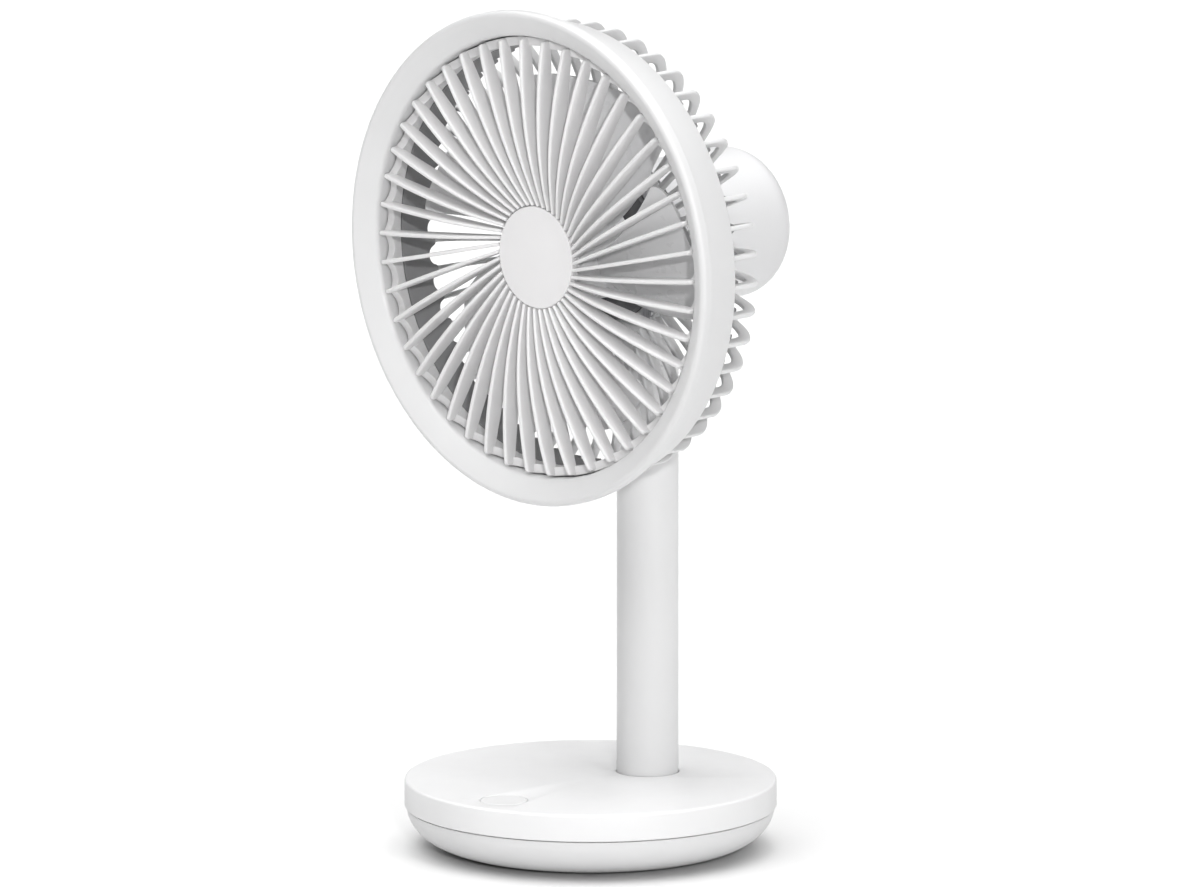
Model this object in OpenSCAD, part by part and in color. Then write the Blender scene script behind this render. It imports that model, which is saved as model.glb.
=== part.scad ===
// Desk fan: a round battery base, an off-centre swivel post and a tilting head with a spiral front grille.
// Millimetres. +Z is up, the fan blows towards -Y, and the origin is the base's centre on the table.

/* [Base] */
// Diameter of the base
base_d = 150; // [140:1:165]
// Height of the flat top above the table
base_h = 29; // [28:0.5:34]
// Height of the straight band round the top cover
band_h = 11; // [10:0.5:12]
// Diameter of the flat underside
foot_circle_d = 100; // [98:1:104]
// Wall thickness of the base shells
base_wall = 2.4; // [2:0.1:2.6]

/* [Post] */
// Outer diameter of the post
post_d = 25; // [24:0.5:26]
// Wall thickness of the post
post_wall = 2.2; // [1.8:0.1:2.6]
// Sideways place of the post on the base
post_x = 7; // [0:0.5:9]
// Place of the post behind the base's centre
post_y = 25.5; // [22:0.5:28]

/* [Head] */
// Height of the fan's axis above the table
axis_z = 248.2; // [235:0.1:280]
// Distance from the post's axis forward to the centre disc
head_reach = 63.5; // [63:0.5:66]
// Outer diameter of the bezel's rolled lip
bezel_d = 200; // [198:1:206]
// Diameter of the flat disc in the middle of the grille
centre_disc_d = 41.4; // [38:0.2:43]
// Diameter of the motor housing
housing_d = 61; // [60:0.5:62]
// Overall length of the head behind the centre disc
head_depth = 121; // [119:1:126]

/* [Grilles] */
// Number of straight ribs in the front grille
front_ribs = 46; // [30:1:50]
// How far each front rib's line passes beside the axis
rib_offset = 7.5; // [3:0.5:9]
// Number of hooked ribs in the rear guard
rear_ribs = 48; // [30:1:52]

/* [Fan] */
// Number of blades
blade_count = 5; // [3:1:5]
// Diameter across the blade tips
blade_d = 146; // [130:1:156]
// Angle that one blade covers round the axis
blade_span = 56; // [30:1:60]

/* [Hidden] */

$fn = 96;
eps = 0.01;
shell_white = [0.93, 0.93, 0.93];
ring_white = [0.89, 0.89, 0.9];
grille_white = [0.9, 0.9, 0.9];
housing_grey = [0.84, 0.84, 0.85];

// Base: outline and levels
base_r = base_d / 2;
foot_r = foot_circle_d / 2;
band_z = base_h - band_h;
edge_round = 1.2;
seam_gap = 0.35;
sole_z = 1;
bowl_arc_steps = 14;
floor_z = sole_z + base_wall;
ceiling_z = base_h - 2.6;
pad_r = 47;
pad_recess = 0.6;
screw_ring_r = 54;
screw_r = 1.5;
screw_head_r = 2.8;
screw_boss_r = 3.2;
ballast_r = 46;
ballast_top = floor_z + 3.1;

// Battery and boards
cell_r = 9.2;
cell_length = 65;
cell_y = [-19, -38.6];
cell_z = ballast_top + 0.3 + cell_r;
board_t = 1.6;
socket_z = 21;

// Power button
button_y = -56.4;
button_r = 9.5;
button_gap = 0.3;
button_travel = 0.8;
switch_board_z = 18;
switch_top = switch_board_z + board_t + 0.6;
button_flange_z = 25;

// Post and swivel
post_r = post_d / 2;
post_bore = post_r - post_wall;
running = 0.05;
dome_drop = 51;
dome_z = axis_z - dome_drop;
post_bottom = 12;
journal_r = 6;
gear_z = 17;
gear_h = 5;
collar_z = 22.6;
gear_module = 0.75;
gear_teeth = 40;
pinion_teeth = 16;
addendum = 0.7;
dedendum = 0.95;
pressure_angle = 20;
backlash = 0.12;
gear_pitch_r = gear_module * gear_teeth / 2;
pinion_pitch_r = gear_module * pinion_teeth / 2;
pinion_x = post_x - gear_pitch_r - pinion_pitch_r;
swivel_motor_r = 12;
swivel_motor_offset = 7.5;
cable_offset = 5.5;
cable_r = 1.4;

// Tilt hinge, in the head's own frame: x sideways, z backwards from the centre disc
tongue_w = 14;
tongue_half = 8;
pin_r = 2.5;
washer_t = 0.9;
ear_gap = tongue_w / 2 + washer_t + 0.1;
ear_t = 4;
disc_y = post_y - head_reach;

// Bezel, grille and guard: depths are measured backwards from the centre disc
lip_r = 1.9;
lip_depth = -3.9;
lip_ring_r = bezel_d / 2 + 0.2 - lip_r;
bezel_inner_r = 89.4;
bezel_inner_depth = -0.6;
bezel_skirt_depth = 8.8;
bezel_wall = 1.8;
grille_rim_r = 88.8;
grille_skirt_r = 85.2;
grille_crown = 5.1;
crown_r = 52;
rib_t = 1.7;
rib_back = 3.2;
disc_back = 1.3;
rib_first_angle = 6;
wall_front_r = 98.9;
wall_rear_r = 93.5;
wall_rear_depth = 19;
wall_t = 2;
web_depth = 8.8;
duct_r = 85;
duct_end = 27.5;
duct_scallop_r = 4;
hook_r = 92.8;
hook_corner = 6.3;
hook_back = 36.3;
hook_depth = 4.6;
guard_collar_r = 37;
guard_back = 45;
guard_flat_r = 52;
rear_rib_t = 2;
rear_first_angle = 5.6;
guard_screw_ring_r = 33.9;

// Motor housing
housing_r = housing_d / 2;
housing_wall = 2.2;
bulkhead = 37;
mount_flange = 2.4;
drum_gap = 0.3;
drum_round = 12;
driver_depth = 98;
slot_front = 50.2;
slot_rear = 91.6;
slot_w = 15;
shaft_r = 2;
bearing_r = 5.5;
motor_r = 20;
rotor_back = 51.6;

// Fan
blade_r = blade_d / 2;
hub_r = 21;
hub_front = 6;
hub_rear = 34;
blade_t = 1.6;
blade_steps_r = 7;
blade_steps_a = 9;
blade_first_angle = -16;
blade_sweep = 23;
blade_pitch_root = 34;
blade_pitch_tip = 22;

// ---- Helpers ----

// Puts a part drawn in the head's own frame in its place.
module in_head() {
    translate([post_x, disc_y, axis_z]) rotate([-90, 0, 0]) children();
}

module at_post() {
    translate([post_x, post_y, 0]) children();
}

module tube(outer, inner, low, high) {
    translate([0, 0, low]) difference() {
        cylinder(r = outer, h = high - low);
        translate([0, 0, -eps]) cylinder(r = inner, h = high - low + 2 * eps);
    }
}

module ring_of(count, radius, first = 0) {
    for (i = [0 : count - 1])
        rotate([0, 0, first + i * 360 / count]) translate([radius, 0, 0]) children();
}

function arc(centre, radius, from, to, steps) =
    [for (i = [0 : steps]) let (a = from + (to - from) * i / steps)
        centre + radius * [cos(a), sin(a)]];

// Points on one involute gear's outline, tooth by tooth.
function involute_angle(base, r) = let (a = acos(min(1, base / r))) tan(a) * 180 / PI - a;
function tooth_half(teeth, pitch, base, r) =
    90 / teeth - backlash / pitch * 90 / PI
    + involute_angle(base, pitch) - involute_angle(base, r);
function gear_outline(teeth) =
    let (pitch = gear_module * teeth / 2, base = pitch * cos(pressure_angle),
        root = pitch - dedendum, tip = pitch + addendum, low = max(base, root) + eps, steps = 4)
    [for (t = [0 : teeth - 1]) let (mid = t * 360 / teeth)
        for (side = [-1, 1], i = [0 : steps + 1])
            let (k = side < 0 ? i : steps + 1 - i,
                r = k == 0 ? root : low + (tip - low) * (k - 1) / steps,
                half = tooth_half(teeth, pitch, base, max(r, low)))
            r * [cos(mid + side * half), sin(mid + side * half)]];

module gear(teeth, height, bore) {
    difference() {
        linear_extrude(height) polygon(gear_outline(teeth));
        translate([0, 0, -eps]) cylinder(r = bore, h = height + 2 * eps);
    }
}

// ---- Base ----

module base_cover() {
    inner = base_r - base_wall;
    color(shell_white) difference() {
        union() {
            rotate_extrude() polygon(concat(
                [[0, ceiling_z], [inner, ceiling_z], [inner, band_z], [base_r, band_z]],
                arc([base_r - edge_round, base_h - edge_round], edge_round, 0, 90, 5),
                [[0, base_h]]));
            ring_of(4, screw_ring_r, 45) tube(screw_boss_r, screw_r, floor_z + 2, ceiling_z + eps);
        }
        at_post() translate([0, 0, ceiling_z - 1]) cylinder(r = post_r + 0.4, h = 5);
        translate([post_x, button_y, ceiling_z - 1]) cylinder(r = button_r + button_gap, h = 5);
        translate([post_x - 4.9, base_r - 8, socket_z - 0.1]) cube([9.8, 10, 3.8]);
    }
}

// Outline of the bowl, a quarter ellipse from the seam down to the flat sole.
function bowl_side(inset) =
    [for (i = [0 : bowl_arc_steps]) let (a = 90 * i / bowl_arc_steps)
        [foot_r + (base_r - seam_gap - inset - foot_r) * cos(a),
            band_z - (band_z - sole_z - inset) * sin(a)]];

module base_bowl() {
    color(housing_grey) difference() {
        union() {
            rotate_extrude() difference() {
                polygon(concat(bowl_side(0), [[0, sole_z], [0, band_z]]));
                polygon(concat(bowl_side(base_wall), [[0, floor_z], [0, band_z + eps],
                    [base_r - seam_gap - base_wall, band_z + eps]]));
            }
            ring_of(4, screw_ring_r, 45) translate([0, 0, sole_z + 0.4])
                cylinder(r = 4.6, h = floor_z + 2 - sole_z - 0.4);
            at_post() translate([0, 0, floor_z - eps]) cylinder(r = 9, h = 1.2);
        }
        ring_of(4, screw_ring_r, 45) translate([0, 0, sole_z - 2]) cylinder(r = screw_r + 0.2, h = 12);
        ring_of(4, screw_ring_r, 45) translate([0, 0, sole_z - 2]) cylinder(r = screw_head_r + 0.2, h = 4.2);
        translate([0, 0, sole_z - 1]) cylinder(r = pad_r + 0.1, h = 1 + pad_recess);
    }
}

module ballast_plate() {
    color([0.45, 0.46, 0.48]) difference() {
        translate([0, 0, floor_z + 0.1]) cylinder(r = ballast_r, h = ballast_top - floor_z - 0.1);
        at_post() cylinder(r = 9.4, h = 20);
    }
}

module rubber_pad() {
    color([0.25, 0.25, 0.26]) rotate_extrude()
        polygon([[0, 0], [pad_r - 0.5, 0], [pad_r, 0.5],
            [pad_r, sole_z + pad_recess], [0, sole_z + pad_recess]]);
}

module base_screws() {
    color([0.7, 0.7, 0.72]) ring_of(4, screw_ring_r, 45) difference() {
        union() {
            translate([0, 0, sole_z + 0.6]) cylinder(r = screw_head_r, h = 1.6);
            translate([0, 0, sole_z + 2]) cylinder(r = screw_r, h = 12);
        }
        translate([0, 0, sole_z]) cylinder(r = 1.2, h = 1.4, $fn = 6);
    }
}

module cell_shape(radius, length) {
    rotate([0, 90, 0]) cylinder(r = radius, h = length, center = true);
}

module battery_cells() {
    color([0.2, 0.45, 0.7]) for (y = cell_y) translate([0, y, cell_z]) {
        cell_shape(cell_r, cell_length);
        translate([cell_length / 2, 0, 0]) cell_shape(3, 2);
    }
}

module battery_tray() {
    tray_y = (cell_y[0] + cell_y[1]) / 2;
    color([0.2, 0.2, 0.22]) difference() {
        translate([-34.4, tray_y - 21, ballast_top]) cube([68.8, 42, 6]);
        for (y = cell_y) translate([0, y, cell_z]) cell_shape(cell_r + 0.1, cell_length + 3);
    }
}

module control_board() {
    color([0.1, 0.4, 0.22]) {
        translate([26, -6, ballast_top + 0.1]) cube([28, 34, board_t]);
        translate([31, 2, ballast_top + 0.1 + board_t]) cube([8, 8, 1.2]);
        translate([44, 14, ballast_top + 0.1 + board_t]) cylinder(r = 4, h = 7);
        translate([43, 0, ballast_top + 0.1 + board_t]) cube([7, 6, 3.4]);
    }
}

module button_board() {
    color([0.1, 0.4, 0.22]) translate([post_x, button_y, switch_board_z]) {
        translate([-12, -7, 0]) cube([24, 14, board_t]);
        translate([-2.4, -2.4, board_t]) cube([4.8, 4.8, 0.6]);
    }
}

module charge_socket() {
    color([0.75, 0.75, 0.77]) translate([post_x, base_r - base_wall - 7.5, socket_z]) difference() {
        translate([-4.7, 0, 0]) cube([9.4, 8.4, 3.6]);
        translate([-4.2, 2, 0.5]) cube([8.4, 8, 2.6]);
    }
    color([0.1, 0.4, 0.22]) translate([post_x - 8, base_r - 24, socket_z - board_t])
        cube([16, 18, board_t]);
}

module swivel_motor() {
    color([0.7, 0.7, 0.72]) translate([pinion_x, post_y, ballast_top + 0.1]) {
        translate([-swivel_motor_offset, 0, 0]) cylinder(r = swivel_motor_r, h = 8.6);
        translate([0, 0, 8]) cylinder(r = shaft_r, h = gear_z + gear_h - ballast_top - 7);
    }
}

module lower_bush() {
    color([0.75, 0.6, 0.3]) at_post() tube(8.8, journal_r + running, floor_z + 1.2, 8.8);
}

module post_collar() {
    color([0.85, 0.85, 0.82]) at_post() tube(16, post_r + running, collar_z, ceiling_z);
}

module power_button() {
    color([0.95, 0.95, 0.95]) translate([post_x, button_y, 0]) {
        translate([0, 0, ceiling_z]) rotate_extrude() polygon(concat(
            [[0, -eps], [button_r, -eps]],
            arc([button_r - 0.4, 2.2], 0.4, 0, 90, 3), [[0, 2.6]]));
        translate([0, 0, button_flange_z])
            cylinder(r = button_r + 1.3, h = ceiling_z - 0.2 - button_flange_z);
        translate([0, 0, button_flange_z + 0.5]) cylinder(r = button_r, h = ceiling_z - button_flange_z);
        translate([0, 0, switch_top + button_travel]) cylinder(r = 2, h = 5);
    }
}

// Points of one ring of a round wire that winds round the Z axis.
function wire_ring(radius, wire, angle, height, sides) =
    [for (s = [0 : sides - 1]) let (a = s * 360 / sides)
        let (across = radius + wire * cos(a))
            [across * cos(angle), across * sin(angle), height + wire * sin(a)]];

module button_spring() {
    low = switch_board_z + board_t;
    wire = 0.35;
    turns = 4;
    rings = 48;
    sides = 6;
    rise = button_flange_z - low - 2 * wire;
    points = [for (i = [0 : rings]) each
        wire_ring(4, wire, i * 360 * turns / rings, low + wire + rise * i / rings, sides)];
    skin = [for (i = [0 : rings - 1], s = [0 : sides - 1]) let (n = (s + 1) % sides)
        [i * sides + s, i * sides + n, (i + 1) * sides + n, (i + 1) * sides + s]];
    ends = [[for (s = [sides - 1 : -1 : 0]) s], [for (s = [0 : sides - 1]) rings * sides + s]];
    color([0.75, 0.75, 0.77]) translate([post_x, button_y, 0])
        polyhedron(points, concat(skin, ends));
}

module drive_pinion() {
    color([0.85, 0.85, 0.8]) translate([pinion_x, post_y, gear_z])
        rotate([0, 0, 180 / pinion_teeth]) gear(pinion_teeth, gear_h, shaft_r + running);
}

// ---- Post ----

module post_tube() {
    color(shell_white) at_post() tube(post_r, post_bore, post_bottom, dome_z);
}

module post_foot() {
    color([0.8, 0.8, 0.8]) at_post() difference() {
        union() {
            translate([0, 0, post_bottom]) cylinder(r = post_bore, h = 8);
            translate([0, 0, 9]) cylinder(r = post_r, h = 3);
            translate([0, 0, 5]) cylinder(r = journal_r, h = 4.1);
        }
        translate([0, cable_offset, post_bottom - 1]) cylinder(r = cable_r + 0.2, h = 20);
    }
}

module swivel_gear() {
    color([0.85, 0.85, 0.8]) at_post() translate([0, 0, gear_z]) gear(gear_teeth, gear_h, post_r + eps);
}

module tilt_yoke() {
    color(shell_white) at_post() difference() {
        union() {
            translate([0, 0, dome_z - 14]) cylinder(r = post_bore, h = 14);
            translate([-tongue_w / 2, -tongue_half, dome_z - 1])
                cube([tongue_w, 2 * tongue_half, dome_drop + 1]);
            translate([0, 0, axis_z]) rotate([0, 90, 0])
                cylinder(r = tongue_half, h = tongue_w, center = true);
        }
        translate([0, 0, axis_z]) rotate([0, 90, 0])
            cylinder(r = pin_r + running, h = tongue_w + 2, center = true);
        translate([0, cable_offset, dome_z - 20]) cylinder(r = cable_r + 0.2, h = 100);
    }
}

module post_dome() {
    fit = 0.05;
    color(shell_white) at_post() translate([0, 0, dome_z]) difference() {
        intersection() {
            sphere(r = post_r);
            translate([-post_d, -post_d, 0]) cube([2 * post_d, 2 * post_d, post_d]);
        }
        translate([-tongue_w / 2 - fit, -tongue_half - fit, -1])
            cube([tongue_w + 2 * fit, 2 * (tongue_half + fit), post_d]);
    }
}

module inner_cable() {
    color([0.15, 0.15, 0.15]) at_post() translate([0, cable_offset, post_bottom + 1])
        cylinder(r = cable_r, h = axis_z + 4 - post_bottom - 1, $fn = 24);
}

// ---- Head ----

// Front plate of the motor housing: it holds the motor and carries the rear guard.
module motor_mount() {
    spigot = housing_r - housing_wall - 0.05;
    joint = guard_back + mount_flange;
    boss_r = bearing_r + 2.5;
    seat_r = bearing_r + 0.02;
    color(housing_grey) in_head() difference() {
        rotate_extrude() polygon([[seat_r, bulkhead], [housing_r, bulkhead],
            [housing_r, guard_back + 0.05], [guard_collar_r - 0.6, guard_back + 0.05],
            [guard_collar_r - 0.6, joint], [spigot, joint], [spigot, joint + 2],
            [spigot - 1.6, joint + 2], [spigot - 1.6, bulkhead + 2.4], [boss_r, bulkhead + 2.4],
            [boss_r, bulkhead + 4.2], [seat_r, bulkhead + 4.2]]);
        ring_of(4, guard_screw_ring_r, 45) translate([0, 0, bulkhead]) cylinder(r = 1.1, h = 12);
    }
}

// Side view of one half of the drum: outer outline first, then the hollow inside it.
function drum_side(inset, front) = concat(
    [[0, front], [housing_r - inset, front]],
    arc([housing_r - drum_round, head_depth - drum_round], drum_round - inset, 0, 90, 9),
    [[0, head_depth - inset]]);

module motor_housing() {
    front = guard_back + mount_flange + drum_gap;
    inner = housing_r - housing_wall;
    ear_len = 15;
    color(housing_grey) in_head() difference() {
        union() {
            rotate_extrude() difference() {
                polygon(drum_side(0, front));
                polygon(drum_side(housing_wall, front - 1));
            }
            for (s = [-1, 1])
                translate([s * (ear_gap + ear_t / 2), 3.3 - inner / 2, head_reach])
                    cube([ear_t, inner + 5.4, ear_len], center = true);
        }
        translate([-slot_w / 2, 0, slot_front]) cube([slot_w, housing_r + 1, slot_rear - slot_front]);
        translate([0, 0, head_reach]) rotate([0, 90, 0])
            cylinder(r = pin_r, h = 2 * (ear_gap + ear_t) + 2, center = true);
    }
}

module tilt_pin() {
    color([0.75, 0.75, 0.77]) in_head() translate([0, 0, head_reach]) rotate([0, 90, 0])
        cylinder(r = pin_r, h = 2 * (ear_gap + ear_t), center = true);
}

module friction_washers() {
    color([0.3, 0.3, 0.3]) in_head() for (s = [-1, 1])
        translate([s * (tongue_w / 2 + 0.1 + washer_t / 2), 0, head_reach]) rotate([0, 90, 0])
            tube(6.5, pin_r + running, -washer_t / 2, washer_t / 2);
}

// Depth of the rear guard's domed back at a radius, and the outline of its arms at an inset.
function guard_dome(r) =
    r < guard_flat_r ? guard_back : guard_back - 7.6 * pow((r - guard_flat_r) / 34, 2);
function guard_arm(inset) = [for (i = [0 : 5]) let (r = hook_r - hook_corner - 1 - i * 10)
    [i < 5 ? r : guard_collar_r - 0.8, guard_dome(r) - inset]];

// Side view of one hooked rib of the rear guard, radius across and depth up.
function hook_outline() =
    let (corner = [hook_r - hook_corner, hook_back - hook_corner], inner_arm = guard_arm(hook_depth - 0.2))
    concat(
        [[hook_r - hook_depth, wall_rear_depth - 3], [hook_r, wall_rear_depth - 3]],
        arc(corner, hook_corner, 0, 66, 5), guard_arm(0.2),
        [for (i = [5 : -1 : 0]) inner_arm[i]],
        arc(corner, hook_corner - hook_depth, 66, 0, 3));

module rear_guard() {
    color(grille_white) in_head() {
        rotate_extrude() polygon([[wall_front_r, -0.8], [wall_rear_r, wall_rear_depth],
            [wall_rear_r - wall_t, wall_rear_depth], [wall_front_r - wall_t - 0.6, 0.2],
            [wall_front_r - wall_t - 0.6, -0.8]]);
        for (i = [0 : rear_ribs - 1]) rotate([0, 0, -rear_first_angle - i * 360 / rear_ribs])
            rotate([90, 0, 0]) translate([0, 0, -rear_rib_t / 2])
                linear_extrude(rear_rib_t) polygon(hook_outline());
        difference() {
            tube(guard_collar_r, housing_r + 0.05, guard_back - hook_depth, guard_back);
            ring_of(4, guard_screw_ring_r, 45) translate([0, 0, 30]) cylinder(r = 1.7, h = 20);
        }
    }
}

module duct_ring() {
    web_r = wall_front_r - wall_t - 3.2;
    color(grille_white) in_head() difference() {
        rotate_extrude() polygon([[duct_r, web_depth], [web_r, web_depth],
            [web_r - 0.4, web_depth + 1.8], [duct_r + 1.8, web_depth + 1.8],
            [duct_r + 1.8, duct_end], [duct_r, duct_end]]);
        translate([0, 0, duct_end])
            ring_of(rear_ribs, duct_r, -rear_first_angle - 180 / rear_ribs)
                rotate([0, 90, 0]) cylinder(r = duct_scallop_r, h = 8, center = true);
    }
}

// Depth of the front grille's crowned front edge at a radius.
function crown(r) =
    -grille_crown + (r < crown_r ? 4.5 * pow((crown_r - r) / 31.1, 2) : 3.4 * pow((r - crown_r) / 35, 2));

module front_grille() {
    inner = centre_disc_d / 2;
    start = inner + 0.35;
    tip = 88.4;
    color(grille_white) in_head() {
        intersection() {
            for (i = [0 : front_ribs - 1])
                rotate([0, 0, -rib_first_angle - i * 360 / front_ribs])
                    translate([inner - 3, rib_offset - rib_t / 2, -10]) cube([tip - inner + 6, rib_t, 20]);
            rotate_extrude() polygon(concat(
                [for (i = [0 : 7]) let (r = start + (tip - 1.3 - start) * i / 7) [r, crown(r)]],
                [[tip, crown(tip) + 1.4], [tip, rib_back], [inner - 1, rib_back],
                    [inner - 1, disc_back + eps], [start, disc_back + eps]]));
        }
        tube(grille_rim_r, grille_skirt_r, 1.4, 4.2);
        tube(grille_skirt_r + 1.6, grille_skirt_r, 3, web_depth);
        translate([0, 0, disc_back]) cylinder(r = inner + 0.5, h = rib_back - disc_back);
    }
}

module centre_disc() {
    color([0.91, 0.91, 0.91]) in_head() rotate_extrude() polygon([
        [0, -0.4], [centre_disc_d / 2 - 0.5, -0.4], [centre_disc_d / 2, 0.1],
        [centre_disc_d / 2, disc_back], [0, disc_back]]);
}

module bezel_ring() {
    slope = atan2(lip_depth - bezel_inner_depth, lip_ring_r - bezel_inner_r);
    color(ring_white) in_head() rotate_extrude() polygon(concat(
        [[bezel_inner_r, bezel_skirt_depth], [bezel_inner_r, bezel_inner_depth]],
        arc([lip_ring_r, lip_depth], lip_r, slope - 90, 0, 8),
        [[lip_ring_r + lip_r, -1], [lip_ring_r + lip_r - bezel_wall, -1],
            [lip_ring_r + lip_r - bezel_wall, lip_depth],
            [bezel_inner_r + bezel_wall, bezel_inner_depth + 2],
            [bezel_inner_r + bezel_wall, bezel_skirt_depth]]));
}

module guard_screws() {
    color([0.7, 0.7, 0.72]) in_head() ring_of(4, guard_screw_ring_r, 45) {
        translate([0, 0, guard_back - hook_depth - 1.6]) cylinder(r = 2.6, h = 1.6);
        translate([0, 0, guard_back - hook_depth - eps]) cylinder(r = 1.1, h = hook_depth + 2.2);
    }
}

module motor_stator() {
    color([0.75, 0.5, 0.3]) in_head() {
        tube(8.5, bearing_r, bulkhead + 4.4, rotor_back - 2);
        for (i = [0 : 8]) rotate([0, 0, i * 40]) translate([8, -1.6, bulkhead + 5]) cube([6.5, 3.2, 6]);
        tube(16.4, 14.2, bulkhead + 5, bulkhead + 11);
    }
}

module shaft_bearings() {
    color([0.7, 0.7, 0.72]) in_head() {
        tube(bearing_r, shaft_r + running, bulkhead, bulkhead + 3);
        tube(bearing_r - eps, shaft_r + running, bulkhead + 8, bulkhead + 11);
    }
}

module driver_board() {
    color([0.1, 0.4, 0.22]) in_head() {
        translate([0, 0, driver_depth]) cylinder(r = 24, h = board_t);
        translate([-8, -6, driver_depth + board_t]) cube([7, 7, 1.2]);
        translate([8, 4, driver_depth + board_t]) cylinder(r = 3.2, h = 7);
    }
}

module motor_rotor() {
    color([0.6, 0.6, 0.62]) in_head() {
        tube(motor_r, motor_r - 2.2, bulkhead + 4.8, rotor_back - 1.2);
        tube(motor_r, shaft_r, rotor_back - 1.2 - eps, rotor_back);
    }
}

module motor_shaft() {
    color([0.75, 0.75, 0.77]) in_head() translate([0, 0, 4.2]) cylinder(r = shaft_r, h = rotor_back - 4.2);
}

// Mid-surface of a blade: radius, angle round the axis and depth.
function blade_point(u, v, side) =
    let (r = hub_r - 1.5 + (blade_r - hub_r + 1.5) * u,
        span = blade_span * (0.86 + 0.14 * u),
        angle = span * (v - 0.5) * (1 - 0.12 * pow(2 * abs(v - 0.5), 4) * u) - blade_sweep * u,
        pitch = blade_pitch_root + (blade_pitch_tip - blade_pitch_root) * u,
        arc_len = r * span * PI / 180,
        depth = 19 + (v - 0.5) * min(24, arc_len * tan(pitch)) - 2.2 * sin(180 * v),
        half = blade_t / 2 * (0.35 + 0.65 * sin(180 * v)))
    [r * cos(angle), r * sin(angle), depth + side * half];

module blade() {
    columns = blade_steps_a + 1;
    rows = blade_steps_r + 1;
    count = rows * columns;
    points = [for (side = [-1, 1], i = [0 : blade_steps_r], j = [0 : blade_steps_a])
        blade_point(i / blade_steps_r, j / blade_steps_a, side)];
    faces = [for (i = [0 : blade_steps_r - 1], j = [0 : blade_steps_a - 1])
        let (a = i * columns + j) each [
            [a, a + columns, a + 1], [a + 1, a + columns, a + columns + 1],
            [count + a, count + a + 1, count + a + columns],
            [count + a + 1, count + a + columns + 1, count + a + columns]]];
    rim_j = [for (j = [0 : blade_steps_a - 1]) each [
        [j, j + 1, count + j], [j + 1, count + j + 1, count + j],
        [blade_steps_r * columns + j, count + blade_steps_r * columns + j, blade_steps_r * columns + j + 1],
        [blade_steps_r * columns + j + 1, count + blade_steps_r * columns + j,
            count + blade_steps_r * columns + j + 1]]];
    rim_i = [for (i = [0 : blade_steps_r - 1]) let (a = i * columns, b = a + blade_steps_a) each [
        [a, count + a, a + columns], [a + columns, count + a, count + a + columns],
        [b, b + columns, count + b], [b + columns, count + b + columns, count + b]]];
    polyhedron(points, concat(faces, rim_j, rim_i));
}

module fan_blades() {
    color([0.86, 0.86, 0.87]) in_head() {
        difference() {
            union() {
                translate([0, 0, hub_front]) cylinder(r1 = hub_r - 2, r2 = hub_r, h = 4);
                translate([0, 0, hub_front + 4 - eps]) cylinder(r = hub_r, h = hub_rear - hub_front - 4);
            }
            translate([0, 0, hub_front + 3]) cylinder(r = hub_r - 2.2, h = hub_rear);
            translate([0, 0, hub_front - 1]) cylinder(r = shaft_r + eps, h = 10);
        }
        tube(5, shaft_r + eps, hub_front + 2, hub_rear - 2);
        for (i = [0 : blade_count - 1]) rotate([0, 0, -blade_first_angle - i * 360 / blade_count])
            difference() {
                blade();
                cylinder(r = hub_r - 0.6, h = 60);
            }
    }
}

module blade_nut() {
    color([0.8, 0.8, 0.8]) in_head() difference() {
        translate([0, 0, 4.4]) cylinder(r = 5, h = hub_front - 4.4, $fn = 6);
        translate([0, 0, 4]) cylinder(r = shaft_r + eps, h = 5);
    }
}

base_cover();
base_bowl();
ballast_plate();
rubber_pad();
base_screws();
battery_cells();
battery_tray();
control_board();
button_board();
charge_socket();
swivel_motor();
lower_bush();
post_collar();
power_button();
button_spring();
drive_pinion();
post_tube();
post_foot();
swivel_gear();
tilt_yoke();
post_dome();
inner_cable();
motor_mount();
motor_housing();
tilt_pin();
friction_washers();
rear_guard();
duct_ring();
front_grille();
centre_disc();
bezel_ring();
guard_screws();
motor_stator();
shaft_bearings();
driver_board();
motor_rotor();
motor_shaft();
fan_blades();
blade_nut();
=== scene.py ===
"""Looks of the desk fan: moulded shells, spiral grille, hooked guard, blades, soft studio light."""
import math

import bmesh
import bpy
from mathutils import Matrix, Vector


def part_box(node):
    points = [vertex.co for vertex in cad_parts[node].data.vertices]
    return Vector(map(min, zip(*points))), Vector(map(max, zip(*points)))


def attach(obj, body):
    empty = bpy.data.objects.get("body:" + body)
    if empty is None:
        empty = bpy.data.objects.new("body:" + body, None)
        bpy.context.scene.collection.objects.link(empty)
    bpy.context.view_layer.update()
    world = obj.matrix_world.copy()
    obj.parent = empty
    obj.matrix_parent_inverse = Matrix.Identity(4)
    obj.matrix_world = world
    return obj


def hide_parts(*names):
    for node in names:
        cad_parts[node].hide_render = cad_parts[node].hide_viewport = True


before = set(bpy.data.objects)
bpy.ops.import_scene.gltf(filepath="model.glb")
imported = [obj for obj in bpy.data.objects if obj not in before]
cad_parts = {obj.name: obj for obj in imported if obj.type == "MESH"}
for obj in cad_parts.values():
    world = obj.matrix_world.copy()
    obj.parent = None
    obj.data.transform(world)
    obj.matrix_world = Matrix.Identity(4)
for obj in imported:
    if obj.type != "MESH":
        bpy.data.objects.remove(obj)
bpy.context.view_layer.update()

MM = 0.001
TAU = 2 * math.pi


# ---- Places and main sizes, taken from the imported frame, in millimetres ----

def box_mm(node):
    """Lowest and highest corners of a CAD node, in millimetres."""
    low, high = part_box(node)
    return low / MM, high / MM


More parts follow.
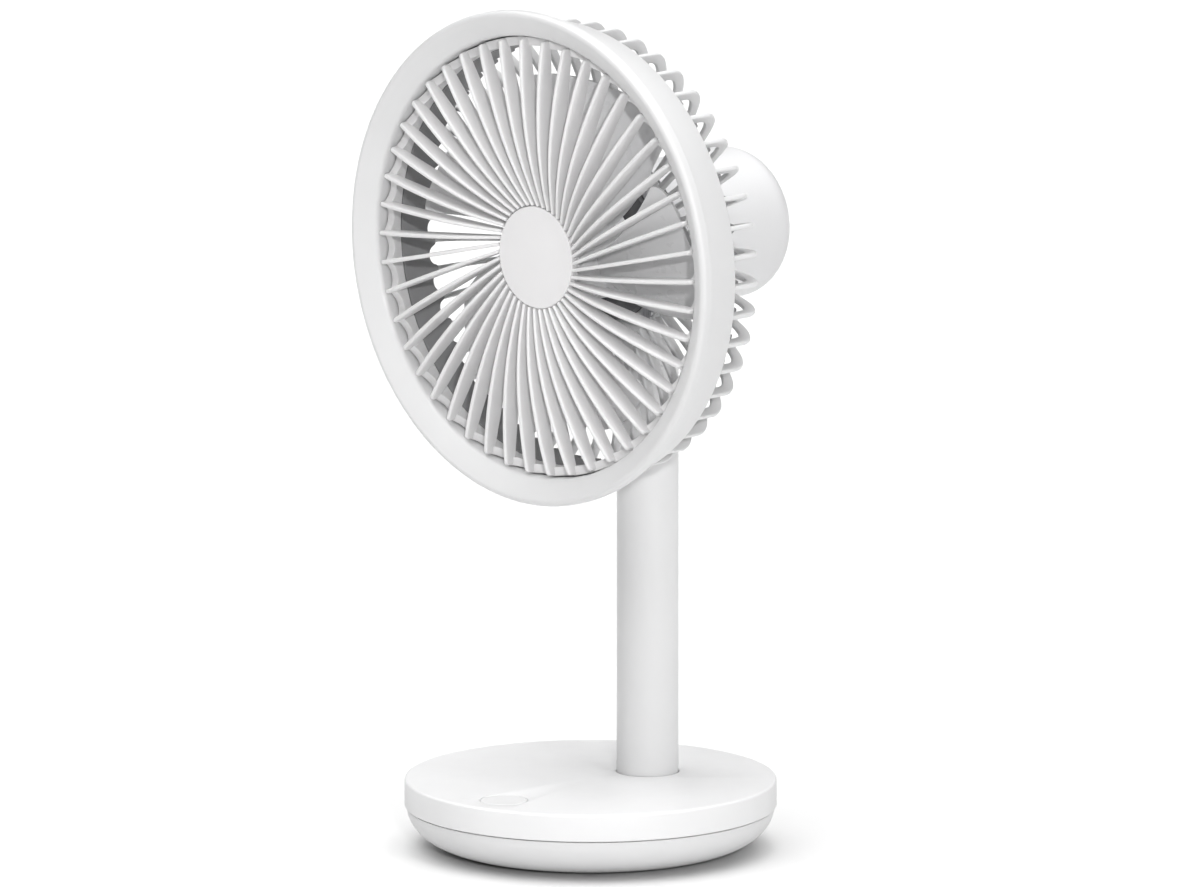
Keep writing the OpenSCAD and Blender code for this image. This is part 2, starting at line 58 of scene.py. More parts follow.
disc_low, disc_high = box_mm("centre_disc")
head_x = (disc_low.x + disc_high.x) / 2
head_z = (disc_low.z + disc_high.z) / 2
disc_proud = 0.4
face_y = disc_low.y + disc_proud   # depths in the head are measured back from here
disc_r = (disc_high.x - disc_low.x) / 2

bezel_low, bezel_high = box_mm("bezel_ring")
bezel_r = (bezel_high.x - bezel_low.x) / 2
guard_low, guard_high = box_mm("rear_guard")
guard_r = (guard_high.x - guard_low.x) / 2
guard_back = guard_high.y - face_y
duct_back = box_mm("duct_ring")[1].y - face_y
drum_low, drum_high = box_mm("motor_housing")
housing_r = (drum_high.x - drum_low.x) / 2
drum_front = drum_low.y - face_y
drum_back = drum_high.y - face_y
mount_low, mount_high = box_mm("motor_mount")
flange_r = (mount_high.x - mount_low.x) / 2
pin_low, pin_high = box_mm("tilt_pin")
pin_y = (pin_low.y + pin_high.y) / 2

post_low, post_high = box_mm("post_tube")
post_x = (post_low.x + post_high.x) / 2
post_y = (post_low.y + post_high.y) / 2
post_r = (post_high.x - post_low.x) / 2
dome_z = post_high.z

cover_low, cover_high = box_mm("base_cover")
base_r = (cover_high.x - cover_low.x) / 2
base_top = cover_high.z
bowl_low, bowl_high = box_mm("base_bowl")
band_z = bowl_high.z
sole_z = bowl_low.z
button_low, button_high = box_mm("power_button")
button_x = (button_low.x + button_high.x) / 2
button_y = (button_low.y + button_high.y) / 2
button_flange_r = (button_high.x - button_low.x) / 2
socket_z = box_mm("charge_socket")[0].z
pad_low, pad_high = box_mm("rubber_pad")
pad_r = (pad_high.x - pad_low.x) / 2


def upright(x=0.0, y=0.0):
    """Places (radius, angle, height) round a vertical line."""
    return lambda r, a, h: (x + r * math.cos(a), y + r * math.sin(a), h)


def in_head(r, a, depth):
    """Places (radius, angle seen from the front, depth behind the face) on the head."""
    return (head_x + r * math.cos(a), face_y + depth, head_z + r * math.sin(a))


# ---- Materials ----

def node_tree(name):
    """A new material, with its nodes, its links and its shader."""
    material = bpy.data.materials.new(name)
    material.use_nodes = True
    nodes = material.node_tree.nodes
    return material, nodes, material.node_tree.links, nodes["Principled BSDF"]


def noise(nodes, links, scale, detail=3.0, stretch=None):
    """Noise on the object's own coordinates; scale counts cells in a metre."""
    coordinates = nodes.new("ShaderNodeTexCoord")
    texture = nodes.new("ShaderNodeTexNoise")
    texture.inputs["Scale"].default_value = scale
    texture.inputs["Detail"].default_value = detail
    if stretch:
        mapping = nodes.new("ShaderNodeMapping")
        mapping.inputs["Scale"].default_value = stretch
        links.new(coordinates.outputs["Object"], mapping.inputs["Vector"])
        links.new(mapping.outputs["Vector"], texture.inputs["Vector"])
    else:
        links.new(coordinates.outputs["Object"], texture.inputs["Vector"])
    return texture


def ramp_between(nodes, links, source, low, high, socket):
    """Drives a number or colour socket from low to high as the noise rises."""
    ramp = nodes.new("ShaderNodeValToRGB")
    ramp.color_ramp.elements[0].position = 0.3
    ramp.color_ramp.elements[1].position = 0.7
    as_colour = [v if isinstance(v, tuple) else (v, v, v) for v in (low, high)]
    ramp.color_ramp.elements[0].color = (*as_colour[0], 1)
    ramp.color_ramp.elements[1].color = (*as_colour[1], 1)
    links.new(source, ramp.inputs["Fac"])
    links.new(ramp.outputs["Color"], socket)


def add_bump(nodes, links, shader, texture, height):
    """Raises the surface by up to height metres where the texture is bright."""
    bump = nodes.new("ShaderNodeBump")
    bump.inputs["Strength"].default_value = 1.0
    bump.inputs["Distance"].default_value = height
    links.new(texture.outputs["Fac"], bump.inputs["Height"])
    links.new(bump.outputs["Normal"], shader.inputs["Normal"])


def moulded(name, colour, rough=0.42, grain=2600, grain_height=0.000008, coat=0.0, glow=0.0):
    """Satin moulded plastic: faint clouds in the resin, fine spark-eroded grain, uneven sheen."""
    material, nodes, links, shader = node_tree(name)
    cloud = noise(nodes, links, 38, 4)
    darker = tuple(c * 0.975 for c in colour)
    ramp_between(nodes, links, cloud.outputs["Fac"], darker, tuple(colour),
                 shader.inputs["Base Color"])
    smear = noise(nodes, links, 120, 5)
    ramp_between(nodes, links, smear.outputs["Fac"], rough - 0.05, rough + 0.05,
                 shader.inputs["Roughness"])
    fine = noise(nodes, links, grain, 2)
    add_bump(nodes, links, shader, fine, grain_height)
    shader.inputs["IOR"].default_value = 1.5
    shader.inputs["Coat Weight"].default_value = coat
    shader.inputs["Coat Roughness"].default_value = 0.25
    shader.inputs["Subsurface Weight"].default_value = glow
    shader.inputs["Subsurface Radius"].default_value = (0.0012, 0.0012, 0.0012)
    return material


def brushed(name, colour, rough=0.32):
    """Drawn or plated metal with fine streaks along Z."""
    material, nodes, links, shader = node_tree(name)
    streak = noise(nodes, links, 900, 4, (1, 1, 0.06))
    dull = tuple(c * 0.82 for c in colour)
    ramp_between(nodes, links, streak.outputs["Fac"], dull, tuple(colour),
                 shader.inputs["Base Color"])
    ramp_between(nodes, links, streak.outputs["Fac"], rough - 0.08, rough + 0.1,
                 shader.inputs["Roughness"])
    add_bump(nodes, links, shader, streak, 0.00001)
    shader.inputs["Metallic"].default_value = 1.0
    return material


def rubber(name, colour):
    """Matt soft rubber with a pebbled skin."""
    material, nodes, links, shader = node_tree(name)
    pebble = noise(nodes, links, 1800, 3)
    worn = tuple(min(1.0, c * 1.5) for c in colour)
    ramp_between(nodes, links, pebble.outputs["Fac"], tuple(colour), worn,
                 shader.inputs["Base Color"])
    ramp_between(nodes, links, pebble.outputs["Fac"], 0.72, 0.9, shader.inputs["Roughness"])
    add_bump(nodes, links, shader, pebble, 0.00004)
    return material


def circuit_board(name):
    """Green solder mask with paler copper tracks under it."""
    material, nodes, links, shader = node_tree(name)
    coordinates = nodes.new("ShaderNodeTexCoord")
    tracks = nodes.new("ShaderNodeTexBrick")
    tracks.inputs["Scale"].default_value = 160
    tracks.inputs["Color1"].default_value = (0.012, 0.12, 0.045, 1)
    tracks.inputs["Color2"].default_value = (0.016, 0.15, 0.055, 1)
    tracks.inputs["Mortar"].default_value = (0.05, 0.27, 0.1, 1)
    links.new(coordinates.outputs["Object"], tracks.inputs["Vector"])
    links.new(tracks.outputs["Color"], shader.inputs["Base Color"])
    gloss = noise(nodes, links, 400, 3)
    ramp_between(nodes, links, gloss.outputs["Fac"], 0.25, 0.4, shader.inputs["Roughness"])
    return material


def winding(name):
    """Enamelled copper wire laid turn beside turn."""
    material, nodes, links, shader = node_tree(name)
    coordinates = nodes.new("ShaderNodeTexCoord")
    turns = nodes.new("ShaderNodeTexWave")
    turns.inputs["Scale"].default_value = 900
    turns.inputs["Distortion"].default_value = 0.6
    links.new(coordinates.outputs["Object"], turns.inputs["Vector"])
    dark, bright = (0.2, 0.06, 0.02), (0.75, 0.32, 0.14)
    ramp_between(nodes, links, turns.outputs["Fac"], dark, bright, shader.inputs["Base Color"])
    add_bump(nodes, links, shader, turns, 0.00008)
    shader.inputs["Metallic"].default_value = 0.85
    shader.inputs["Roughness"].default_value = 0.35
    return material


shell_white = moulded("shell_white", (0.7, 0.7, 0.703), rough=0.5)
# Painted shade: a darker copy of shell_white for the post, whose upright sides get less light than
# the top of the base.
post_shaded_white = moulded("post_shaded_white", (0.63, 0.63, 0.633), rough=0.36)
# Painted shade: the duct is the guard's white plastic, coloured dark grey to stand for the shade
# inside the head.
duct_painted_shade = moulded("duct_painted_shade", (0.26, 0.26, 0.264), rough=0.5)
# Painted shade: the motor mount is coloured near black to stand for the deep shade behind the
# blades.
mount_painted_shade = moulded("mount_painted_shade", (0.13, 0.13, 0.134), rough=0.5)
# Painted shade: darker than shell_white because the bowl faces the floor and gets less light.
bowl_white = moulded("bowl_white", (0.66, 0.66, 0.663), rough=0.46)
# Painted shade: darker than the other whites for the shade on the bezel's sloping face.
ring_white = moulded("ring_white", (0.61, 0.61, 0.613), rough=0.4)
grille_white = moulded("grille_white", (0.68, 0.675, 0.678), rough=0.4)
disc_white = moulded("disc_white", (0.69, 0.683, 0.687), rough=0.55, grain=5200,
                     grain_height=0.00002)
# Painted shade: a little darker than the other whites, so that the inside of the head looks shaded.
guard_white = moulded("guard_white", (0.61, 0.61, 0.613), rough=0.44)
# Painted shade: darker than the other whites for the shade on the drum's sides.
housing_white = moulded("housing_white", (0.58, 0.58, 0.586), rough=0.42)
button_white = moulded("button_white", (0.75, 0.75, 0.753), rough=0.36)
blade_white = moulded("blade_white", (0.68, 0.68, 0.686), rough=0.3, grain=600,
                      grain_height=0.000003, coat=0.3)
inner_grey = moulded("inner_grey", (0.45, 0.45, 0.46), rough=0.5)
inner_black = moulded("inner_black", (0.03, 0.03, 0.032), rough=0.5)
acetal = moulded("acetal", (0.72, 0.71, 0.66), rough=0.35, glow=0.2)
cell_wrap = moulded("cell_wrap", (0.05, 0.16, 0.38), rough=0.28, coat=0.5)
pad_rubber = rubber("pad_rubber", (0.3, 0.3, 0.303))
cable_rubber = rubber("cable_rubber", (0.025, 0.025, 0.025))
washer_fibre = rubber("washer_fibre", (0.06, 0.05, 0.045))
screw_steel = brushed("screw_steel", (0.62, 0.62, 0.64))
ballast_steel = brushed("ballast_steel", (0.36, 0.37, 0.4), rough=0.45)
socket_steel = brushed("socket_steel", (0.66, 0.66, 0.68), rough=0.28)
bush_bronze = brushed("bush_bronze", (0.55, 0.36, 0.16), rough=0.4)
board_green = circuit_board("board_green")
copper = winding("copper")


# ---- Mesh helpers ----

SHARP = 32          # degrees between two faces from which their edge stays sharp
SHARP_AFTER_CUT = 28
LONG_SHARP = 40     # for ribs, hooks and blades
WELD = 2e-6         # metres


def add_to_scene(name, data):
    thing = bpy.data.objects.new(name, data)
    bpy.context.scene.collection.objects.link(thing)
    return thing


def piece_from(name, vertices, faces, material, sharp=SHARP):
    """An object of vertices in millimetres, welded, facing outwards, smooth but for its corners."""
    mesh = bpy.data.meshes.new(name)
    mesh.from_pydata([Vector(v) * MM for v in vertices], [], faces)
    tidy(mesh, sharp)
    mesh.materials.append(material)
    return add_to_scene(name, mesh)


def tidy(mesh, sharp):
    """Welds the mesh, turns its faces outwards and shades it smooth up to the sharp angle."""
    shape = bmesh.new()
    shape.from_mesh(mesh)
    bmesh.ops.remove_doubles(shape, verts=shape.verts, dist=WELD)
    bmesh.ops.dissolve_degenerate(shape, edges=shape.edges, dist=WELD / 2)
    bmesh.ops.recalc_face_normals(shape, faces=shape.faces)
    shape.to_mesh(mesh)
    shape.free()
    mesh.shade_smooth()
    mesh.set_sharp_from_angle(angle=math.radians(sharp))


def rounded(corners, radius, steps=4):
    """A closed outline whose corners are arcs. A corner's third number is its own radius.

    Corners on the axis and corners that hardly turn stay as they are.
    """
    on_axis, hardly_turns, longest_cut = 1e-6, math.radians(172), 0.48
    outline = []
    count = len(corners)
    for i, corner in enumerate(corners):
        here = Vector(corner[:2])
        before, after = Vector(corners[i - 1][:2]), Vector(corners[(i + 1) % count][:2])
        size = corner[2] if len(corner) > 2 else radius
        to_before, to_after = before - here, after - here
        turn = to_before.angle(to_after) if to_before.length and to_after.length else math.pi
        if size <= 0 or abs(here.x) < on_axis or turn > hardly_turns:
            outline.append(here)
            continue
        back = min(size / math.tan(turn / 2), longest_cut * to_before.length,
                   longest_cut * to_after.length)
        start, end = here + to_before.normalized() * back, here + to_after.normalized() * back
        for k in range(steps + 1):
            t = k / steps
            outline.append(start * (1 - t) ** 2 + here * 2 * t * (1 - t) + end * t * t)
    return outline


def arc_points(centre_r, centre_h, radius, start, end, steps):
    """Corners along an arc from start to end degrees, which rounded() leaves as they are."""
    return [(centre_r + radius * math.cos(math.radians(start + (end - start) * k / steps)),
             centre_h + radius * math.sin(math.radians(start + (end - start) * k / steps)), 0)
            for k in range(steps + 1)]


def lathe_mesh(outline, place, segments=192):
    """Vertices and faces of a closed outline of (radius, height) turned once round its line."""
    count = len(outline)
    vertices = [place(p[0], TAU * s / segments, p[1]) for s in range(segments) for p in outline]
    faces = [(s * count + i, s * count + (i + 1) % count,
              (s + 1) % segments * count + (i + 1) % count, (s + 1) % segments * count + i)
             for s in range(segments) for i in range(count)]
    return vertices, faces


def turned(name, corners, place, material, radius=0.3, segments=192, steps=4, sharp=SHARP):
    """A lathe-turned piece of (radius, height[, corner radius]) corners."""
    vertices, faces = lathe_mesh(rounded(corners, radius, steps), place, segments)
    return piece_from(name, vertices, faces, material, sharp)


def prism_mesh(outline, place, near, far):
    """Vertices and faces of an outline pushed from near to far; place is given (x, y, t)."""
    count = len(outline)
    vertices = [place(p[0], p[1], t) for t in (near, far) for p in outline]
    faces = [tuple(range(count)), tuple(range(2 * count - 1, count - 1, -1))]
    faces += [(i, (i + 1) % count, count + (i + 1) % count, count + i) for i in range(count)]
    return vertices, faces


def prism(name, outline, place, near, far, material, edge=0.0):
    """A plate of that outline, with its rims rounded by edge millimetres."""
    vertices, faces = prism_mesh(outline, place, near, far)
    piece = piece_from(name, vertices, faces, material)
    if edge:
        round_rims(piece, edge)
    return piece


def round_rims(piece, edge):
    """Rounds every edge at which the piece turns by more than 50 degrees."""
    shape = bmesh.new()
    shape.from_mesh(piece.data)
    rims = [e for e in shape.edges
            if len(e.link_faces) == 2 and e.calc_face_angle() > math.radians(50)]
    bmesh.ops.bevel(shape, geom=rims, offset=edge * MM, segments=3, profile=0.5, affect="EDGES")
    shape.to_mesh(piece.data)
    shape.free()
    tidy(piece.data, SHARP)


def cut(piece, *cutters, sharp=SHARP):
    """Takes the cutters out of the piece, and removes them."""
    for cutter in cutters:
        step = piece.modifiers.new("cut", "BOOLEAN")
        step.object = cutter
        step.operation = "DIFFERENCE"
        step.solver = "EXACT"
        evaluated = piece.evaluated_get(bpy.context.evaluated_depsgraph_get())
        mesh = bpy.data.meshes.new_from_object(evaluated)
        piece.modifiers.clear()
        piece.data = mesh
        bpy.data.objects.remove(cutter)
    tidy(piece.data, sharp)
    return piece


def join(name, pieces):
    """One object made of several, each still a closed shell."""
    with bpy.context.temp_override(active_object=pieces[0], selected_editable_objects=pieces):
        bpy.ops.object.join()
    pieces[0].name = name
    return pieces[0]


def merged(meshes):
    """Vertices and faces of several meshes in one list each."""
    vertices, faces = [], []
    for more_vertices, more_faces in meshes:
        faces += [tuple(n + len(vertices) for n in face) for face in more_faces]
        vertices += more_vertices
    return vertices, faces


def skin_between(layers, size):
    """Faces of a closed skin through equal loops of size vertices, with a cap at each end."""
    faces = [(k * size + i, k * size + (i + 1) % size,
              (k + 1) * size + (i + 1) % size, (k + 1) * size + i)
             for k in range(layers - 1) for i in range(size)]
    return faces + [tuple(range(size)), tuple(range((layers - 1) * size, layers * size))]


def stand_for(piece, body, slot, *nodes):
    """Lets the piece ride on a body and replace its CAD nodes; the slot is not used."""
    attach(piece, body)
    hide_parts(*nodes)


def flared_hole(x, y, radius, bottom, top, flare):
    """A cutter for a round hole whose mouth at the top is eased by a small fillet."""
    above = top + 3
    mouth = [(radius + flare - flare * math.sin(math.radians(a)),
              top - flare + flare * math.cos(math.radians(a)), 0) for a in (0, 30, 60, 90)]
    mouth[0] = (radius + flare, top + 1e-3, 0)
    corners = [(0, bottom, 0), (radius, bottom, 0), *mouth[::-1],
               (radius + flare, above, 0), (0, above, 0)]
    return turned("hole", corners, upright(x, y), shell_white, 0, 128)


def capsule(width, height, steps=8):
    """A slot outline with round ends, centred on the origin."""
    r = height / 2
    right = [(width / 2 - r + r * math.cos(math.radians(a)), r * math.sin(math.radians(a)))
             for a in (-90 + 180 * k / steps for k in range(steps + 1))]
    return right + [(-x, -y) for x, y in right]


def circle(radius, steps):
    return [(radius * math.cos(TAU * k / steps), radius * math.sin(TAU * k / steps))
            for k in range(steps)]


def rectangle(half_x, low_y, high_y, radius, steps):
    """A rounded rectangle that stands evenly about x = 0."""
    return rounded([(-half_x, low_y), (half_x, low_y), (half_x, high_y), (-half_x, high_y)],
                   radius, steps)


# ---- Base ----

ceiling = base_top - 2.6
cover_wall = 2.4
bowl_wall = 2.4
foot_r = 50             # where the bowl's curve meets its flat underside
seam_step = 0.8         # how far the bowl's rim stands back from the cover
seam_groove = 0.5
screw_ring_r = 54
screw_count = 4
port_width, port_height = 9.8, 3.8
port_centre_z = socket_z + 3.4


def make_base_cover():
    """Top and band in one shell, with holes for the button, the post and the charging plug."""
    inner = base_r - cover_wall
    cover = turned("Base_Cover", [
        (0, ceiling), (inner, ceiling, 0.8), (inner, band_z, 0.2), (base_r, band_z, 0.35),
        (base_r, base_top, 1.25), (0, base_top)], upright(), shell_white, segments=256, steps=6)
    button_hole = flared_hole(button_x, button_y, 9.8, ceiling - 1, base_top, 0.25)
    post_hole = flared_hole(post_x, post_y, post_r + 0.3, ceiling - 1, base_top, 0.3)
    port = prism("port", capsule(port_width, port_height),
                 lambda x, h, t: (post_x + x, t, port_centre_z + h),
                 base_r - 8, base_r + 3, shell_white)
    cut(cover, button_hole, post_hole, port, sharp=SHARP_AFTER_CUT)
    stand_for(cover, "base", "shell_white", "base_cover")


def bowl_curve(inset, bottom, steps=28):
    """A quarter of an ellipse from the seam down to the foot, drawn in by inset."""
    rim = base_r - seam_step - inset
    return [(foot_r + (rim - foot_r) * math.cos(math.pi / 2 * i / steps),
             band_z - (band_z - bottom) * math.sin(math.pi / 2 * i / steps), 0)
            for i in range(steps + 1)]


def make_base_bowl():
    """The rounded under-shell, with a recess for the pad, a seam groove and four screw wells."""
    floor_z = sole_z + bowl_wall
    pad_recess_r, pad_recess_z = pad_r + 0.25, sole_z + 0.6
    rim, rim_inside = base_r - seam_step, base_r - seam_step - 1.3
    shoulder_z = band_z - seam_groove
    outer = [p for p in bowl_curve(0, sole_z) if p[1] < shoulder_z]
    inner = bowl_curve(bowl_wall, floor_z)
    corners = [*outer, (pad_recess_r, sole_z, 0.3), (pad_recess_r, pad_recess_z, 0),
               (0, pad_recess_z), (0, floor_z), *inner[:0:-1],
               (rim - bowl_wall, band_z, 0), (rim_inside, band_z, 0),
               (rim_inside, shoulder_z, 0), (rim, shoulder_z, 0.2)]
    bowl = turned("Base_Bowl", corners, upright(), bowl_white, segments=256)
    well_r, well_depth = 3.1, 3.2
    well = [(0, 0, 0), (well_r, 0, 0), (well_r, well_depth, 0), (0, well_depth, 0)]
    wells = [turned("well", well, upright(*screw_place(i)), bowl_white, 0, 48)
             for i in range(screw_count)]
    cut(bowl, *wells, sharp=SHARP_AFTER_CUT)
    stand_for(bowl, "base", "bowl_white", "base_bowl")


def screw_place(i):
    """Place of one screw of the base, on a ring round its middle."""
    angle = math.radians(45 + 90 * i)
    return screw_ring_r * math.cos(angle), screw_ring_r * math.sin(angle)


def make_base_screws():
    """Four pan-head screws with crossed slots."""
    head_z, neck_z, tip_z, head_r, thread_r = 1.7, 3.15, 13.5, 2.8, 1.5
    screws = []
    for i in range(screw_count):
        corners = [(0, head_z), (head_r, head_z, 0.5), (head_r, neck_z, 0.1), (thread_r, neck_z, 0),
                   (thread_r, tip_z, 0.4), (0, tip_z)]
        x, y = screw_place(i)
        screw = turned(f"screw_{i}", corners, upright(x, y), screw_steel, segments=48)
        for turn in (0, 90):
            a = math.radians(turn + 30)
            slot = prism("slot", capsule(3.2, 0.7), lambda u, v, t: (
                x + u * math.cos(a) - v * math.sin(a), y + u * math.sin(a) + v * math.cos(a), t),
                head_z - 0.5, head_z + 1.0, screw_steel)
            cut(screw, slot)
        screws.append(screw)
    stand_for(join("Base_Screws", screws), "base", "screw_steel", "base_screws")


def make_rubber_pad():
    """The pad under the base, with four ring grooves in its sole."""
    sole, groove_z = pad_low.z, pad_low.z + 0.5
    grooves = []
    for r in (10, 20, 30, 38.5):
        grooves += [(r, sole, 0.15), (r + 0.4, groove_z, 0.1), (r + 1.2, groove_z, 0.1),
                    (r + 1.6, sole, 0.15)]
    corners = [(0, sole), *grooves, (pad_r, sole, 0.5), (pad_r, pad_high.z, 0.1), (0, pad_high.z)]
    pad = turned("Rubber_Pad", corners, upright(), pad_rubber, segments=192)
    stand_for(pad, "base", "pad_rubber", "rubber_pad")


def make_power_button():
    """The dished button; its flange has a recess that takes the spring's end when it is pressed."""
    lip, stem_r, recess_r = 1.3, 2, 5.2
    r = button_flange_r - lip
    stem_z, flange_z, recess_z = button_low.z + 0.1, ceiling - 1.3, ceiling - 0.5
    top, lip_z = button_high.z, ceiling - 0.2
    corners = [(0, stem_z), (stem_r, stem_z), (stem_r, recess_z, 0.1), (recess_r, recess_z, 0.1),
               (recess_r, flange_z, 0.1), (r + lip, flange_z, 0.2), (r + lip, lip_z, 0.2),
               (r, lip_z, 0), (r, top, 0.45), (r - 1.4, top - 0.02, 1.0),
               (r * 0.5, top - 0.16, 2), (0, top - 0.2)]
    button = turned("Power_Button", corners, upright(button_x, button_y), button_white,
                    segments=128, steps=5)
    stand_for(button, "button", "button_white", "power_button")


def make_charge_socket():
    """A small steel socket with its tongue, on its own board behind the cover's port."""
    front = base_r - cover_wall - 7.5
    board_half, board_thick = 8, 1.6

    def along(x, h, t):
        return (post_x + x, t, port_centre_z + h)

    shell = prism("shell", capsule(9.2, 3.4, 12), along, front, front + 8.3, socket_steel)
    cut(shell, prism("mouth", capsule(8.5, 2.7, 12), along, front + 1.5, front + 12, socket_steel))
    tongue = prism("tongue", capsule(6.4, 0.7), along, front + 1, front + 7.2, inner_black, 0.15)
    board = prism("board", [(-board_half, 0), (board_half, 0), (board_half, board_thick),
                            (-board_half, board_thick)],
                  lambda x, h, t: (post_x + x, t, socket_z + h),
                  base_r - 24, base_r - 6, board_green, 0.1)
    socket = join("Charge_Socket", [shell, tongue, board])
    stand_for(socket, "base", "socket_metal", "charge_socket")


# ---- Post ----

post_bore = post_r - 2.2
tongue_x, tongue_y = 7.0, 8.0      # half sizes of the tongue that carries the head
tongue_play = 0.12


def make_post():
    corners = [(post_bore, post_low.z), (post_r, post_low.z, 0.5), (post_r, dome_z, 0.12),
               (post_bore, dome_z, 0.1)]
    tube = turned("Post_Tube", corners, upright(post_x, post_y), post_shaded_white, segments=192)
    stand_for(tube, "column", "shell_white", "post_tube")


def make_post_dome():
    """The half ball on the post's top, with a socket that the tongue passes through."""
    foot_z = dome_z + 0.03
    dome = turned("Post_Dome", [(0, foot_z), (post_r - 0.35, foot_z, 0),
                                *arc_points(0, dome_z, post_r, 1.2, 90, 28)],
                  upright(post_x, post_y), post_shaded_white, segments=128)
    half_x, half_y = tongue_x + tongue_play, tongue_y + tongue_play
    socket = prism("socket", rectangle(half_x, -half_y, half_y, 1.2, 4),
                   lambda x, y, t: (post_x + x, post_y + y, t),
                   dome_z - 2, dome_z + 16, shell_white)
    cut(dome, socket)
    stand_for(dome, "column", "shell_white", "post_dome")


def make_tilt_yoke():
    """The plug inside the post's top, and the slim tongue on it that carries the tilt pin."""
    plug_r, plug_low, plug_high = post_bore - 0.02, dome_z - 14, dome_z - 0.02
    plug = turned("plug", [(0, plug_low), (plug_r, plug_low, 0.4), (plug_r, plug_high, 0.2),
                           (0, plug_high)], upright(post_x, post_y), shell_white, segments=96)
    side = [(-tongue_y, dome_z - 0.5), (tongue_y, dome_z - 0.5)]
    side += [(tongue_y * math.cos(math.radians(a)), head_z + tongue_y * math.sin(math.radians(a)))
             for a in range(0, 181, 6)]
    tongue = prism("tongue", side, lambda y, z, t: (post_x + t, post_y + y, z),
                   -tongue_x, tongue_x, shell_white, 0.8)
    pin_hole = prism("bore", circle(2.6, 48), lambda y, z, t: (post_x + t, pin_y + y, head_z + z),
                     -12, 12, shell_white)
    cut(tongue, pin_hole)
    stand_for(join("Tilt_Yoke", [plug, tongue]), "column", "shell_white", "tilt_yoke")


# ---- Head ----

bezel_inner_r = 89.4
lip_r = 1.9             # roll of the bezel's outer edge
lip_depth = -3.9
duct_r = 85
duct_wall = 1.8
hook_count = 48
hook_first = 5.6        # degrees
hook_step = 360 / hook_count


def make_bezel():
    """The ring in front: a sloping face between a soft inner edge and a rolled outer lip."""
    wall, inner_edge, skirt, joint = 1.8, -0.6, 8.6, -1.05
    lip_ring = bezel_r - lip_r
    slope = math.degrees(math.atan2(lip_depth - inner_edge, lip_ring - bezel_inner_r))
    lip = arc_points(lip_ring, lip_depth, lip_r, slope - 90, 0, 18)
    corners = [(bezel_inner_r, skirt, 0.2), (bezel_inner_r, inner_edge, 3.0), *lip,
               (bezel_r, joint, 0.25), (bezel_r - wall, joint, 0), (bezel_r - wall, lip_depth, 0.4),
               (bezel_inner_r + wall, 1.4, 0.5), (bezel_inner_r + wall, skirt, 0.2)]
    bezel = turned("Bezel_Ring", corners, in_head, ring_white, segments=320, steps=5)
    stand_for(bezel, "head", "ring_white", "bezel_ring")


rib_count = 46
rib_offset = 7.5        # how far each rib's line passes beside the axis
rib_first = 6           # degrees
crown_top = 5.1
crown_r = 52
rib_back = 3.2
rib_tip_r = 88.4
rim_inner_r = 85.2


def crown(r):
    """Depth of the ribs' front edge: a shallow dome that is highest a little over half-way out."""
    inward = 4.5 * ((crown_r - r) / 31.1) ** 2
    outward = 3.4 * ((r - crown_r) / 35) ** 2
    return -crown_top + (inward if r < crown_r else outward)


def rib_section(s, half, front, back, steps=6):
    """One cross-section of a rib: square behind, bullnosed in front."""
    nose = [(half * math.cos(math.pi * k / steps),
             front + half * (1 - math.sin(math.pi * k / steps))) for k in range(steps + 1)]
    return [(s, w, d) for w, d in [(half * 0.92, back), *nose, (-half * 0.92, back)]]


def rib_mesh(theta):
    """One straight rib from the disc to its rounded tip, slowly widening on the way."""
    start_r, stations, corner = disc_r + 0.35, 22, 1.7
    half_at_disc, half_at_tip = 0.68, 0.92
    s_start = math.sqrt(start_r ** 2 - rib_offset ** 2)
    s_tip = math.sqrt(rib_tip_r ** 2 - rib_offset ** 2)
    sections = []
    for k in range(stations + 1):
        s = s_start + (s_tip - corner - s_start) * k / stations
        r = math.hypot(s, rib_offset)
        widening = (half_at_tip - half_at_disc) * (r - disc_r) / (rib_tip_r - disc_r)
        sections.append(rib_section(s, half_at_disc + widening, crown(r), rib_back))
    edge = crown(rib_tip_r - corner)
    for turn in map(math.radians, (20, 40, 58, 74, 88)):
        s = s_tip - corner + corner * math.sin(turn)
        half = half_at_tip * (0.62 + 0.38 * math.cos(turn) ** 0.7)
        front = edge + corner * (1 - math.cos(turn))
        sections.append(rib_section(s, half, front, rib_back - 0.9 * math.sin(turn)))
    cos_t, sin_t = math.cos(theta), math.sin(theta)
    vertices = []
    for section in sections:
        for s, w, d in section:
            side = rib_offset + w
            x = s * cos_t + side * sin_t
            z = s * sin_t - side * cos_t
            vertices.append((head_x + x, face_y + d, head_z + z))
    return vertices, skin_between(len(sections), len(sections[0]))


